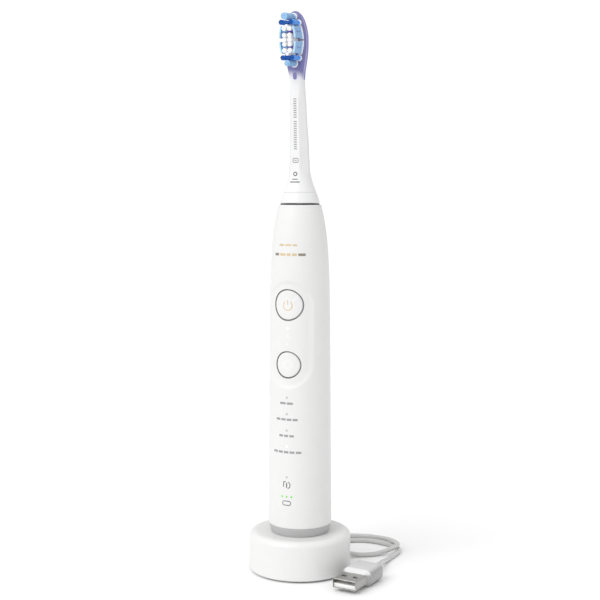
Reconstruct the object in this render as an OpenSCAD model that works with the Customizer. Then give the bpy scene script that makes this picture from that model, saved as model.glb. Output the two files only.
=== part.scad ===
// Electric toothbrush standing on its charger, with the USB lead laid out and the spare lead coiled.
// Millimetres, +Z up, origin at the centre of the charger's underside, buttons and bristles towards -Y.

/* [Charger] */
// Radius of the charger puck
charger_r = 24.5; // [24:0.1:26]
// Height of the charger's raised rim
charger_h = 19.4; // [19.2:0.1:20]
// Radius of the rounded top edge
charger_fillet = 3; // [2:0.1:3.5]
// Wall thickness of the charger shell
charger_wall = 2; // [1.6:0.1:2.4]
// Radius of the peg that the handle stands on
peg_r = 5; // [4.6:0.1:5.2]
// Height of the peg above the seat
peg_h = 8.5; // [7.5:0.1:8.6]

/* [Handle] */
// Radius of the handle where the white housing starts
handle_low_r = 15.2; // [15:0.1:15.6]
// Radius of the handle where its shoulder starts
handle_high_r = 14.4; // [14.2:0.1:14.6]
// Wall thickness of the housing
handle_wall = 1.6; // [1.4:0.1:1.8]
// Depth of the shallow panel round the two buttons
panel_depth = 0.6; // [0.4:0.05:0.8]
// Radius of the panel's round ends
panel_r = 11.3; // [10.5:0.1:11.4]
// Height of the power button's centre
power_z = 130; // [129.5:0.1:131]
// Height of the mode button's centre
mode_z = 101.8; // [101:0.1:103]
// Radius of the power button's cap
power_r = 6.95; // [6.5:0.05:7.1]
// Radius of the mode button's cap
mode_r = 5.95; // [5.5:0.05:6.1]
// Width of the grey ring round each button
ring_w = 0.5; // [0.4:0.05:0.7]

/* [Drive] */
// Radius of the drive shaft
shaft_r = 1.6; // [1.4:0.05:1.7]
// Height of the shaft's tip
shaft_top_z = 197; // [194:0.5:197.5]
// Radial clearance of the shaft in its bearings and in the brush head
shaft_fit = 0.05; // [0.03:0.01:0.1]

/* [Brush head] */
// Forward lean of the neck, in degrees
neck_lean = 3.4; // [2.5:0.1:4]
// Half of the brush plate's thickness
plate_half = 2.9; // [2.7:0.1:3]
// Length of the white bristles
white_tuft_l = 8; // [7:0.1:8.5]
// Length of the two rubber guards
guard_l = 7.6; // [7:0.1:8]

/* [Lead] */
// Diameter of the lead
cord_d = 2.3; // [2.1:0.1:2.4]
// Turns lying side by side in each layer of the coil
coil_columns = 6; // [4:1:6]
// Radius at the middle of the coil's turns
coil_mid_r = 13; // [12.6:0.1:13.4]
// Angle by which the plug lies turned out of line with the charger's front
plug_turn = 5; // [0:0.5:6]

/* [Hidden] */
$fn = 64;
FAR = 60;

// Charger levels
seat_z = charger_h - 0.3;
foot_h = 0.9;
base_h = 1.2;
cavity_r = charger_r - charger_wall;
cavity_top = seat_z - charger_wall;
peg_wall = 1;
screw_ring_r = 13;
screw_r = 1;
boss_r = 2.4;
screw_count = 3;
board_z = 4.5;
board_t = 1.2;

// Lead exit at the charger's wall
exit_angle = 57;
exit_z = 2.7;
relief_root_r = 1.7;
relief_tip_r = 1.3;
relief_out = 4;
cord_r = cord_d / 2;

// Handle levels
handle_z = seat_z;
housing_z = 23.4;
shoulder_z = 125;
housing_top_z = 176.5;
seal_top_z = 177.2;
neck_hole_r = 7;
socket_r = peg_r + 0.3;
socket_top = handle_z + peg_h + 0.4;
spigot_r = 13.4;
groove_r = 12.3;
groove_z = 25.2;
groove_w = 1.4;
cap_light_r = 0.5;
button_gap = 0.15;
cap_t = 1.4;
button_travel = 0.5;
plunger_y = -10.9;
stem_y = plunger_y - button_travel - 0.1;
pcb_y = -8.6;
pcb_t = 1.2;

// Heights of the small lights on the front
intensity_z = [119, 115.4, 111.5];
mode_light_z = [86.3, 78.5, 70.7, 63.1];
reminder_z = 48.3;
charge_z = 38.9;
charge_pitch = 2.4;

// Drive levels
rotor_z = 138;
rotor_h = 10;
lower_bearing_z = 129;
upper_bearing_z = 167;
torsion_z = 106;
shaft_z = 126;

// Brush head: heights above lean_z are measured along the leaning neck
lean_z = 190;
collar_z = 177.5;
collar_top_z = 182.4;
collar_low_r = 9.3;
collar_top_r = 7.8;
neck_foot_r = 6;
clip_r = 2.6;
plate_start = 44.6;
neck_tip_r = 3.5;
plate_wide_h = 63.5;
plate_top_h = 76.2;
plate_low_half_w = 3.5;
plate_half_w = 5.8;
rim_t = 0.5;
rim_w = 0.5;

// Each round tuft is [x, height along the neck, radius, length]
light_tufts = [[0, 73.2, 1.55, 10.4], [0, 52.2, 1.4, 8.3]];
// Each two-ended tuft is [half the distance between its ends, height along the neck, radius, length]
dark_tufts = [[2.45, 70.6, 1.15, 8.4], [2.35, 54.7, 1.15, 7.7]];
// White tufts stand in rows of two, with a smaller one past each end, as [height along the neck, radius]
white_row_x = 1.35;
white_rows = [[67.8, 1.05], [64.8, 0.95], [62.75, 0.95], [60.7, 0.95], [57.9, 1.05]];
white_ends = [[68.95, 0.6], [56.4, 0.65]];
guard_centres = [66.2, 59.3];
guard_half_h = 2.7;
guard_t = 0.9;
guard_out_x = 4.5;
guard_bow_r = 20;
guard_bow_h = 62.75;
// The bars cross between two rows of white tufts
bar_h = [66.4, 59.3];
bar_half_w = 2.7;
bar_t = 0.5;
window_h = 46.6;
window_w = 2;
window_l = 3.4;

// The spare lead's coil, lying behind the charger
coil_centre = [-20.4, 43.7];
coil_pitch = cord_d + 0.1;
coil_low_z = 0.4;
coil_half_w = (coil_columns - 1) * coil_pitch / 2 + cord_r;
coil_h = 2 * cord_d + 0.05;
coil_out_r = coil_mid_r + coil_half_w - cord_r;
function on_coil(angle, z) = [
    coil_centre[0] + coil_out_r * cos(angle), coil_centre[1] + coil_out_r * sin(angle), z
];
coil_start = on_coil(72, coil_low_z + cord_r);
coil_end = on_coil(-40, coil_low_z + coil_h - cord_r);

// Lead route on the surface that the charger stands on, from the strain relief to the coil
exit_out = charger_r + relief_out;
exit_point = [exit_out * cos(exit_angle), exit_out * sin(exit_angle), exit_z];
lead_route = [
    exit_point, [16.2, 25.9, 1.8], [20, 27.9, 1.2], [24.3, 30.6, 1.15], [27.6, 33.5, 1.35],
    [30.4, 36.3, 2], [32.6, 38.8, 2.9], [34.1, 41.4, 3.6], [34.2, 44.4, 3.65], [31.9, 47.7, 3.6],
    [28, 51.2, 3.3], [23.4, 54.4, 2.7], [18.3, 57, 2], [13, 58.6, 1.5], [7.6, 58.4, 1.2],
    [2.6, 57.2, 1.15], [-5, 58.9, 1.2], coil_start
];
// and from the coil to the back of the plug
run_route = [
    coil_end, [-1.6, 36.6, 3.4], [1.4, 42.2, 2.3], [5, 47.2, 1.4], [9.6, 50.6, 1.15],
    [14.8, 52.3, 1.15], [20, 52.3, 1.15], [24.4, 51.3, 1.15], [27.8, 50.2, 1.15], [31, 48.4, 1.15],
    [34, 45.6, 1.15], [35.6, 41.4, 1.15], [35.8, 36.4, 1.15], [35.5, 31, 1.15], [35.5, 24, 1.5],
    [36.1, 17.2, 2.7], [37, 10.4, 3.7], [36.9, 5, 4], [36.4, 2, 4]
];
tie_t = 0.4;
tie_w = 5;
tie_angle = 250;

// Plug: lengths along it are measured from the middle of its back, towards its tip
plug_back = [36.3, 1.2, 4];
plug_l = 16;
plug_w = 15;
plug_t = 8;
usb_w = 12;
usb_t = 4.5;
usb_wall = 0.3;
usb_tip = 26.5;
usb_root = 12.5;
tongue_t = 1.85;

// Points of a cubic curve through four control points
function bezier(p, n) = [
    for (i = [0:n]) let (t = i / n, s = 1 - t)
        s * s * s * p[0] + 3 * s * s * t * p[1] + 3 * s * t * t * p[2] + t * t * t * p[3]
];
// Points of an arc in a plane
function arc(c, r, a, b, n) = [for (i = [0:n]) let (t = a + (b - a) * i / n) c + r * [cos(t), sin(t)]];

// A curve through a route's own points, with n steps between each two
function route_at(a, b, c, d, t) =
    0.5 * (2 * b + (c - a) * t + (2 * a - 5 * b + 4 * c - d) * t * t + (3 * b - a - 3 * c + d) * t * t * t);
function smooth_route(p, n) = [
    for (i = [0:len(p) - 2], k = [0:n - 1])
        route_at(p[max(i - 1, 0)], p[i], p[i + 1], p[min(i + 2, len(p) - 1)], k / n),
    p[len(p) - 1]
];
function unit(v) = v / norm(v);
function heading(p, i) = unit(p[min(i + 1, len(p) - 1)] - p[max(i - 1, 0)]);
function ring(p, i, r, sides) =
    let (t = heading(p, i), side = unit(cross(t, [0, 0, 1])), up = cross(side, t))
    [for (k = [0:sides - 1]) p[i] + r * (cos(360 * k / sides) * side + sin(360 * k / sides) * up)];

module swept_tube(p, r, sides) {
    points = [for (i = [0:len(p) - 1]) each ring(p, i, r, sides)];
    walls = [
        for (i = [0:len(p) - 2], k = [0:sides - 1]) let (a = i * sides, b = a + sides, n = (k + 1) % sides)
            [a + k, b + k, b + n, a + n]
    ];
    start = [for (k = [0:sides - 1]) k];
    end = [for (k = [sides - 1:-1:0]) (len(p) - 1) * sides + k];
    polyhedron(points, concat(walls, [start, end]));
}

module rounded_rect(w, h, r) {
    square([w - 2 * r, h], center = true);
    square([w, h - 2 * r], center = true);
    for (x = [-1, 1], y = [-1, 1]) translate([x * (w / 2 - r), y * (h / 2 - r)]) circle(r);
}

// A profile lying in the X-Z plane, thickened towards -Y from y
module towards_front(y, l) {
    translate([0, y, 0]) rotate([90, 0, 0]) linear_extrude(l) children();
}

module ring_solid(r_in, r_out, z, h) {
    rotate_extrude() translate([r_in, z]) square([r_out - r_in, h]);
}

// Charger

module charger_shell() {
    color("white") difference() {
        rotate_extrude() polygon(concat(
            [[0, foot_h], [charger_r - 0.4, foot_h], [charger_r, foot_h + 0.4]],
            arc([charger_r - charger_fillet, charger_h - charger_fillet], charger_fillet, 0, 90, 10),
            [[charger_r - charger_fillet - 1, charger_h], [17.5, seat_z], [peg_r, seat_z]],
            arc([peg_r - 1, seat_z + peg_h - 1], 1, 0, 90, 6),
            [[0, seat_z + peg_h]]
        ));
        rotate_extrude() polygon([
            [0, 0], [cavity_r, 0], [cavity_r, cavity_top - 1], [cavity_r - 1, cavity_top],
            [peg_r - peg_wall, cavity_top], [peg_r - peg_wall, seat_z + peg_h - peg_wall],
            [0, seat_z + peg_h - peg_wall]
        ]);
        at_exit() cylinder(r = relief_root_r, h = FAR);
    }
    color("white") at_screws() difference() {
        translate([0, 0, foot_h + base_h]) cylinder(r = boss_r, h = cavity_top - foot_h - base_h + 0.5);
        cylinder(r = screw_r, h = 10);
    }
}

// Children stand on the charger's axis and point out along the lead's exit
module at_exit() {
    rotate([0, 0, exit_angle]) translate([0, 0, exit_z]) rotate([0, 90, 0]) children();
}

module at_screws() {
    for (k = [0:screw_count - 1]) rotate([0, 0, 90 + 360 * k / screw_count])
        translate([screw_ring_r, 0, 0]) children();
}

module charger_base_plate() {
    color("gainsboro") difference() {
        translate([0, 0, foot_h]) cylinder(r = cavity_r, h = base_h);
        at_screws() cylinder(r = screw_r, h = FAR);
        at_screws() cylinder(r = 2 * screw_r, h = foot_h + 0.7);
        at_exit() cylinder(r = relief_root_r, h = FAR);
    }
}

module charger_foot_ring() {
    color("silver") ring_solid(17, 22.2, 0, foot_h);
}

module charger_screws() {
    color("silver") at_screws() {
        translate([0, 0, foot_h]) difference() {
            cylinder(r = 2 * screw_r, h = 0.7);
            cylinder(r = 0.8, h = 0.4, $fn = 6);
        }
        translate([0, 0, foot_h + 0.7]) cylinder(r = screw_r, h = 7);
    }
}

module charger_circuit_board() {
    color("seagreen") translate([0, 0, board_z]) difference() {
        cylinder(r = 17, h = board_t);
        at_screws() translate([0, 0, -1]) cylinder(r = boss_r + 0.2, h = 4);
    }
}

module charger_board_components() {
    top = board_z + board_t;
    color("dimgray") {
        translate([-12, -1.5, top]) cube([5, 5, 1.2]);
        translate([1, -13, top]) cube([4, 6, 1]);
        translate([9, 2, top]) cube([3, 3, 2]);
        translate([-9, 8, top]) cylinder(r = 2.5, h = 6);
        translate([5, 11, top]) cylinder(r = 2, h = 5);
    }
}

module charger_bobbin() {
    color("ivory") rotate_extrude() difference() {
        translate([2.2, board_z + board_t]) square([1.7, 20.3]);
        translate([3, 0]) square([2, 17.3]);
        translate([2.8, 18.3]) square([2, 7]);
    }
}

module charger_coil() {
    color("peru") ring_solid(2.8, 3.7, 18.3, 7);
}

module charger_ferrite_core() {
    color("dimgray") translate([0, 0, 8]) cylinder(r = 2.2, h = 18);
}

// Lead and plug

module strain_relief() {
    root = cavity_r - 2;
    color("silver") at_exit() {
        translate([0, 0, root]) cylinder(r = relief_root_r, h = charger_r - root);
        translate([0, 0, charger_r]) cylinder(r1 = relief_root_r, r2 = relief_tip_r, h = relief_out);
    }
}

module cord_lead() {
    color("silver") swept_tube(smooth_route(lead_route, 2), cord_r, 8);
}

module cord_run() {
    color("silver") swept_tube(smooth_route(run_route, 2), cord_r, 8);
}

module cord_coil() {
    color("silver") translate(coil_centre)
        ring_solid(coil_mid_r - coil_half_w, coil_mid_r + coil_half_w, coil_low_z, coil_h);
}

module cord_tie() {
    color("gray") translate(coil_centre) rotate([0, 0, tie_angle])
        translate([coil_mid_r, tie_w / 2, coil_low_z + coil_h / 2]) rotate([90, 0, 0])
        linear_extrude(tie_w) difference() {
            rounded_rect(2 * (coil_half_w + tie_t), coil_h + 2 * tie_t, tie_t);
            square([2 * coil_half_w + 0.6, coil_h], center = true);
        }
}

// Children are drawn with the plug's back at the origin and its tip towards -Y
module at_plug() {
    translate(plug_back) rotate([0, 0, -plug_turn]) children();
}

module usb_overmould() {
    color("silver") at_plug() difference() {
        intersection() {
            towards_front(0, plug_l) rounded_rect(plug_w, plug_t, 3.4);
            translate([0, -plug_l / 2, -plug_t / 2]) linear_extrude(plug_t) rounded_rect(plug_w, plug_l, 2.2);
        }
        towards_front(-usb_root, plug_l) square([usb_w, usb_t], center = true);
    }
}

module usb_metal_shell() {
    color("gainsboro") at_plug() difference() {
        towards_front(-usb_root, usb_tip - usb_root) difference() {
            rounded_rect(usb_w, usb_t, 0.5);
            square([usb_w - 2 * usb_wall, usb_t - 2 * usb_wall], center = true);
        }
        for (x = [-1, 1], z = [-1, 1])
            translate([x * 2.9 - 1.1, -usb_tip + 4.8, z * usb_t / 2 - 1]) cube([2.2, 2.2, 2]);
    }
}

module usb_tongue() {
    inner_w = usb_w - 2 * usb_wall;
    color("white") at_plug() towards_front(-usb_root, usb_tip - 0.6 - usb_root)
        translate([-inner_w / 2, -usb_t / 2 + usb_wall]) square([inner_w, tongue_t]);
}

module usb_contacts() {
    color("gold") at_plug() for (x = [-3.5, -1, 1, 3.5])
        translate([x - 0.5, -usb_tip + 2, -usb_t / 2 + usb_wall + tongue_t]) cube([1, 9, 0.12]);
}

// Handle

handle_outline = concat(
    [[handle_low_r, housing_z]],
    bezier([[handle_high_r, shoulder_z], [14.1, 150], [13.4, 163], [10.4, 175]], 22),
    [[10.15, 176.1], [9.7, housing_top_z]]
);

// The handle's solid form, drawn in from its surface
module handle_form(inset) {
    rotate_extrude() polygon(concat(
        [[0, housing_z], [handle_low_r - inset, housing_z]],
        [for (i = [1:len(handle_outline) - 1]) handle_outline[i] - [inset, 0]],
        [[0, housing_top_z]]
    ));
}

module panel_prism() {
    towards_front(-5, FAR) {
        translate([0, power_z]) circle(panel_r);
        translate([0, mode_z]) circle(panel_r);
        translate([-panel_r, mode_z]) square([2 * panel_r, power_z - mode_z]);
    }
}

module front_rod(x, z, r) {
    towards_front(pcb_y, FAR) translate([x, z]) circle(r, $fn = 24);
}

module intensity_rods() {
    for (z = intensity_z) front_rod(0, z, cap_light_r);
}

module mode_rods() {
    for (z = mode_light_z) front_rod(0, z, cap_light_r);
    front_rod(0, reminder_z, cap_light_r);
}

module charge_rods() {
    for (x = [-1:1]) front_rod(x * charge_pitch, charge_z, cap_light_r);
}

module handle_housing() {
    inner_top = 174.9;
    color("white") difference() {
        handle_form(0);
        intersection() {
            handle_form(handle_wall);
            cylinder(r = FAR, h = inner_top);
        }
        difference() {
            panel_prism();
            handle_form(panel_depth);
        }
        cylinder(r = neck_hole_r, h = 4 * FAR);
        towards_front(-5, FAR) {
            translate([0, power_z]) circle(power_r + button_gap + ring_w);
            translate([0, mode_z]) circle(mode_r + button_gap + ring_w);
        }
        intensity_rods();
        mode_rods();
        charge_rods();
    }
}

module handle_end_cap() {
    cup_r = socket_r + 1;
    floor_z = handle_z + 2;
    color("darkgray") rotate_extrude() polygon([
        [socket_r, handle_z], [13.6, handle_z], [13.9, handle_z + 0.3], [15.05, housing_z],
        [spigot_r, housing_z], [spigot_r, groove_z], [groove_r, groove_z],
        [groove_r, groove_z + groove_w], [spigot_r, groove_z + groove_w], [spigot_r, 28.5],
        [11, 28.5], [11, floor_z], [cup_r, floor_z], [cup_r, socket_top + 1],
        [0, socket_top + 1], [0, socket_top], [socket_r, socket_top]
    ]);
}

module end_cap_seal() {
    seal_r = (handle_low_r - handle_wall - groove_r) / 2;
    color("dimgray") rotate_extrude()
        translate([groove_r + seal_r, groove_z + groove_w / 2]) circle(seal_r, $fn = 24);
}

module receiver_coil() {
    color("peru") ring_solid(socket_r + 1, 8.6, handle_z + 2, 6.5);
}

module battery() {
    color("steelblue") translate([0, 4.2, 34]) {
        cylinder(r = 7, h = 49);
        translate([0, 0, 49]) cylinder(r = 2.5, h = 1);
    }
}

module battery_tabs() {
    color("silver") {
        translate([-2, -4.2, 33.7]) cube([4, 9, 0.3]);
        translate([-2, -4.2, 84]) cube([4, 9, 0.3]);
    }
}

// A disc with its front cut off, which leaves room for the circuit board
module d_disc(r, z, h) {
    translate([0, 0, z]) difference() {
        cylinder(r = r, h = h);
        translate([-FAR, -2 * FAR + pcb_y + pcb_t, -1]) cube([2 * FAR, 2 * FAR, h + 2]);
    }
}

module inner_chassis() {
    color("lightgray") {
        d_disc(12.8, 31, 2.7);
        d_disc(12.4, 86, 2);
        d_disc(12.4, 98, 2);
        translate([0, 0, 100]) cylinder(r = 3, h = torsion_z - 100);
        for (x = [-11.2, 9.7]) translate([x, -2, 31]) cube([1.5, 4, 97]);
    }
}

module handle_circuit_board() {
    color("seagreen") translate([-7.5, pcb_y, 33]) cube([15, pcb_t, 101]);
}

module board_components() {
    back_y = pcb_y + pcb_t;
    color("dimgray") {
        translate([-3, back_y, 104]) cube([6, 1, 6]);
        translate([-5, back_y, 113]) cube([3, 0.8, 4]);
        translate([2, back_y, 113]) cube([3, 0.8, 5]);
        translate([-4, back_y, 91]) cube([3, 1.5, 3]);
        translate([1, back_y, 90.5]) cube([4, 1, 4]);
    }
}

module button_switches() {
    color("black") for (z = [power_z, mode_z]) {
        translate([-2.25, pcb_y - 1.6, z - 2.25]) cube([4.5, 1.6, 4.5]);
        towards_front(pcb_y - 1.6, pcb_y - 1.6 - plunger_y) translate([0, z]) circle(1.3);
    }
}

module light_guide_tips() {
    intersection() {
        handle_form(0.05);
        children();
    }
}

module intensity_light_guides() {
    color("white") intersection() {
        handle_form(panel_depth + 0.05);
        intensity_rods();
    }
}

module mode_light_guides() {
    color("white") light_guide_tips() mode_rods();
}

module charge_light_guides() {
    color("lightgreen") light_guide_tips() charge_rods();
}

module button_ring(z, r) {
    color("gray") difference() {
        intersection() {
            handle_form(panel_depth - 0.05);
            towards_front(-5, FAR) translate([0, z]) difference() {
                circle(r + button_gap + ring_w);
                circle(r + button_gap);
            }
        }
        handle_form(panel_depth + cap_t);
    }
}

module power_button_ring() {
    button_ring(power_z, power_r);
}

module mode_button_ring() {
    button_ring(mode_z, mode_r);
}

module button_cap(z, r) {
    color("white") {
        difference() {
            intersection() {
                handle_form(panel_depth);
                towards_front(-5, FAR) translate([0, z]) circle(r);
            }
            handle_form(panel_depth + cap_t);
        }
        towards_front(stem_y, 1.5) translate([0, z]) circle(1.2);
    }
}

module power_button_cap() {
    button_cap(power_z, power_r);
}

module mode_button_cap() {
    button_cap(mode_z, mode_r);
}

// Drive

module drive_frame() {
    color("lightgray") difference() {
        union() {
            d_disc(12.2, 128, 2);
            ring_solid(0, 6, 130, 3);
            translate([0, 0, 166]) cylinder(r = 9.9, h = 2);
            ring_solid(0, 5.5, 168, 4);
            rotate([0, 0, 56]) rotate_extrude(angle = 68) translate([8.3, 129]) square([1.6, 38]);
            rotate([0, 0, 236]) rotate_extrude(angle = 68) translate([8.3, 135]) square([1.6, 32]);
        }
        cylinder(r = 2.2, h = 4 * FAR);
        translate([0, 0, lower_bearing_z]) cylinder(r = 4.5, h = 10);
        translate([0, 0, upper_bearing_z]) cylinder(r = 4, h = 10);
    }
}

module lower_shaft_bearing() {
    color("peru") ring_solid(shaft_r + shaft_fit, 4.5, lower_bearing_z, 4);
}

module upper_shaft_bearing() {
    color("peru") ring_solid(shaft_r + shaft_fit, 4, upper_bearing_z, 5);
}

module torsion_bar() {
    color("silver") translate([0, 0, torsion_z]) cylinder(r = 1, h = shaft_z - torsion_z);
}

module stator_pole(y, h) {
    translate([5.9, -y / 2, rotor_z + (rotor_h - h) / 2]) cube([3.6, y, h]);
}

module stator_core() {
    color("dimgray") for (a = [0, 180]) rotate([0, 0, a]) {
        difference() {
            stator_pole(6, rotor_h);
            cylinder(r = 6, h = 4 * FAR);
        }
        rotate([0, 0, -56]) rotate_extrude(angle = 112)
            translate([9.2, rotor_z]) square([2, rotor_h]);
    }
}

module stator_windings() {
    color("peru") for (a = [0, 180]) rotate([0, 0, a]) difference() {
        translate([6.3, -5, rotor_z - 2.5]) cube([1.3, 10, rotor_h + 5]);
        stator_pole(6, rotor_h);
    }
}

module neck_seal() {
    color("dimgray") difference() {
        union() {
            translate([0, 0, 173]) cylinder(r = neck_hole_r, h = housing_top_z - 173);
            translate([0, 0, housing_top_z]) cylinder(r = 9.3, h = seal_top_z - housing_top_z);
        }
        cylinder(r = shaft_r + shaft_fit, h = 4 * FAR);
    }
}

module drive_shaft() {
    flat_l = 13;
    color("silver") difference() {
        union() {
            translate([0, 0, shaft_z]) cylinder(r = shaft_r, h = shaft_top_z - shaft_z - 0.6);
            translate([0, 0, shaft_top_z - 0.6]) cylinder(r1 = shaft_r, r2 = shaft_r - 0.5, h = 0.6);
        }
        translate([-5, -5.2, shaft_top_z - flat_l]) cube([10, 4, flat_l + 1]);
    }
}

module rotor_yoke() {
    color("silver") ring_solid(shaft_r, 3.6, rotor_z, rotor_h);
}

module rotor_magnets() {
    color("dimgray") for (k = [0:3]) rotate([0, 0, 90 * k - 35])
        rotate_extrude(angle = 70) translate([3.6, rotor_z]) square([1.7, rotor_h]);
}

// Brush head

module leaning() {
    translate([0, 0, lean_z]) rotate([neck_lean, 0, 0]) children();
}

module brush_neck() {
    foot_z = collar_z + 0.5;
    color("white") difference() {
        union() {
            rotate_extrude() polygon([
                [0, foot_z], [neck_foot_r, foot_z], [neck_foot_r, collar_top_z],
                [7.7, collar_top_z], [7.55, 183], [6.9, 184.6], [6.3, 186.3], [5.75, 188.2],
                [5.35, lean_z], [0, lean_z]
            ]);
            leaning() rotate_extrude() polygon([
                [0, -3], [5, -3], [5.28, 0], [4.95, 2], [4.7, 4], [4.5, 6], [4.35, 8], [4.25, 15],
                [3.77, 26], [3.55, 37], [neck_tip_r, plate_start], [0, plate_start]
            ]);
        }
        cylinder(r = clip_r, h = shaft_top_z + 2);
    }
}

module neck_collar() {
    color("white") rotate_extrude() polygon([
        [neck_foot_r, collar_z], [collar_low_r - 0.3, collar_z], [collar_low_r, collar_z + 0.3],
        [collar_top_r, collar_top_z], [neck_foot_r, collar_top_z]
    ]);
}

module shaft_clip() {
    color("silver") ring_solid(shaft_r + shaft_fit, clip_r, 183, shaft_top_z + 1 - 183);
}

module reminder_window() {
    color("slateblue") leaning() towards_front(-plate_half, 0.15)
        translate([0, window_h]) rounded_rect(window_w, window_l, 0.95);
}

// One side of the brush plate's outline, from its foot to its top
plate_side = concat(
    bezier([[plate_low_half_w, plate_start], [4, 52], [plate_half_w, 54.5], [plate_half_w, plate_wide_h]], 8),
    [for (i = [1:8]) bezier([[plate_half_w, plate_wide_h], [plate_half_w, 69], [3, plate_top_h],
        [0, plate_top_h]], 8)[i]]
);

module plate_outline(inset) {
    side = [for (p = plate_side) [max(p[0] - inset, 0), min(p[1], plate_top_h - inset)]];
    polygon(concat(side, [for (i = [len(side) - 2:-1:0]) [-side[i][0], side[i][1]]]));
}

module brush_plate() {
    color("slateblue") leaning() hull() {
        towards_front(-plate_half + 0.8, 0.8) plate_outline(0.3);
        towards_front(0.6, 2.6) plate_outline(0);
        towards_front(plate_half, 0.2) plate_outline(1.6);
    }
}

module on_plate(l) {
    towards_front(-plate_half, l) children();
}

module dumbbell(half, h, r, grow) {
    for (x = [-half, half]) translate([x, h]) circle(r + grow);
    translate([0, h]) square([2 * half, 2 * (0.45 * r + grow)], center = true);
}

// The guards are stretches of one bowed wall on each side
module guard_wall(h, side, grow) {
    scale([side, 1]) intersection() {
        translate([guard_out_x - guard_bow_r, guard_bow_h]) difference() {
            circle(guard_bow_r + grow, $fn = 96);
            circle(guard_bow_r - guard_t - grow, $fn = 96);
        }
        translate([0, h - guard_half_h - grow]) square([2 * guard_out_x, 2 * (guard_half_h + grow)]);
    }
}

module each_guard(grow) {
    for (h = guard_centres, side = [-1, 1]) guard_wall(h, side, grow);
}

module tuft_rims() {
    color("white") leaning() {
        on_plate(rim_t) for (t = light_tufts) translate([t[0], t[1]]) difference() {
            circle(t[2] + rim_w);
            circle(t[2]);
        }
        on_plate(rim_t) for (t = dark_tufts) difference() {
            dumbbell(t[0], t[1], t[2], rim_w);
            dumbbell(t[0], t[1], t[2], 0);
        }
        on_plate(rim_t) difference() {
            each_guard(rim_w);
            each_guard(0);
        }
    }
}

module light_blue_tufts() {
    color("lightskyblue") leaning() for (t = light_tufts) on_plate(t[3]) translate([t[0], t[1]]) circle(t[2]);
}

module dark_blue_tufts() {
    color("royalblue") leaning() for (t = dark_tufts) on_plate(t[3]) dumbbell(t[0], t[1], t[2], 0);
}

module white_tufts() {
    color("white") leaning() on_plate(white_tuft_l) {
        for (row = white_rows, x = [-white_row_x, white_row_x]) translate([x, row[0]]) circle(row[1]);
        for (tuft = white_ends) translate([0, tuft[0]]) circle(tuft[1]);
    }
}

module gum_guards() {
    color("lightskyblue") leaning() on_plate(guard_l) each_guard(0);
}

module guard_bars() {
    color("indigo") leaning() on_plate(guard_l - 1.6)
        for (h = bar_h) translate([0, h]) square([2 * bar_half_w, bar_t], center = true);
}

charger_shell();
charger_base_plate();
charger_foot_ring();
charger_screws();
charger_circuit_board();
charger_board_components();
charger_bobbin();
charger_coil();
charger_ferrite_core();
strain_relief();
cord_lead();
cord_coil();
cord_tie();
cord_run();
usb_overmould();
usb_metal_shell();
usb_tongue();
usb_contacts();
handle_housing();
handle_end_cap();
end_cap_seal();
receiver_coil();
battery();
battery_tabs();
inner_chassis();
handle_circuit_board();
board_components();
button_switches();
intensity_light_guides();
mode_light_guides();
charge_light_guides();
power_button_ring();
mode_button_ring();
drive_frame();
lower_shaft_bearing();
upper_shaft_bearing();
torsion_bar();
stator_core();
stator_windings();
neck_seal();
power_button_cap();
mode_button_cap();
drive_shaft();
rotor_yoke();
rotor_magnets();
brush_neck();
neck_collar();
shaft_clip();
reminder_window();
brush_plate();
tuft_rims();
light_blue_tufts();
dark_blue_tufts();
white_tufts();
gum_guards();
guard_bars();
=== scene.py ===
import random
from math import asin, atan2, ceil, copysign, cos, dist, hypot, pi, radians, sin, sqrt, tau

import bmesh
import bpy
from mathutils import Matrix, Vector


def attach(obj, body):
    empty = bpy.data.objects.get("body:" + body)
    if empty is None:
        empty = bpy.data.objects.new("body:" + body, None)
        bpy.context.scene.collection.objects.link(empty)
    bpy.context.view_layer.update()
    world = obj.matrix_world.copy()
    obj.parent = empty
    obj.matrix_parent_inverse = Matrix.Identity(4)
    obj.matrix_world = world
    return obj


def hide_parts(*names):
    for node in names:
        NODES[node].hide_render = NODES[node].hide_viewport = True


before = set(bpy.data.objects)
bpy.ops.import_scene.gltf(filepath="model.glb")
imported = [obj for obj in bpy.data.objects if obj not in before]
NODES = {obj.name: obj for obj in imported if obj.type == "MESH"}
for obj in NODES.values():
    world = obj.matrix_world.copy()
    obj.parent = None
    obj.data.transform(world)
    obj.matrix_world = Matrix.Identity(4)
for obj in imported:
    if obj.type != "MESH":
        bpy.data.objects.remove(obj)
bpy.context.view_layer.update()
scene = bpy.context.scene

# Lengths are in millimetres in the frame's axes, and MM turns them into Blender's metres.
MM = 0.001
rng = random.Random(7)

# Where the sky is brightest, how bright it is there, opposite, and as a plain background
SKY_TOWARDS = Vector((-0.2, -0.75, 0.85))
SKY_BRIGHT, SKY_DIM, SKY_SEEN = 1.08, 0.54, 1.05
# Where the key light comes from, its strength and its spread in degrees
KEY_FROM = Vector((-0.42, -0.9, 0.95))
KEY_STRENGTH, KEY_SPREAD = 1.12, 40
FLOOR_HALF_M = 30


def placed(name, data):
    """An object in the scene that holds the data."""
    obj = bpy.data.objects.new(name, data)
    scene.collection.objects.link(obj)
    return obj


# ---- camera, light and floor

def make_camera():
    azimuth, distance, height, pitch = radians(25), 576.5, 187.4, radians(5.57)
    data = bpy.data.cameras.new("camera")
    data.lens, data.sensor_width = 72.8, 36
    data.clip_start, data.clip_end = 0.02, 50
    camera = placed("camera", data)
    camera.location = Vector((distance * sin(azimuth), -distance * cos(azimuth), height)) * MM
    away = Vector((-sin(azimuth), cos(azimuth), 0)) * cos(pitch)
    look = away - Vector((0, 0, sin(pitch)))
    camera.rotation_euler = look.to_track_quat("-Z", "Y").to_euler()
    scene.camera = camera


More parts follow.
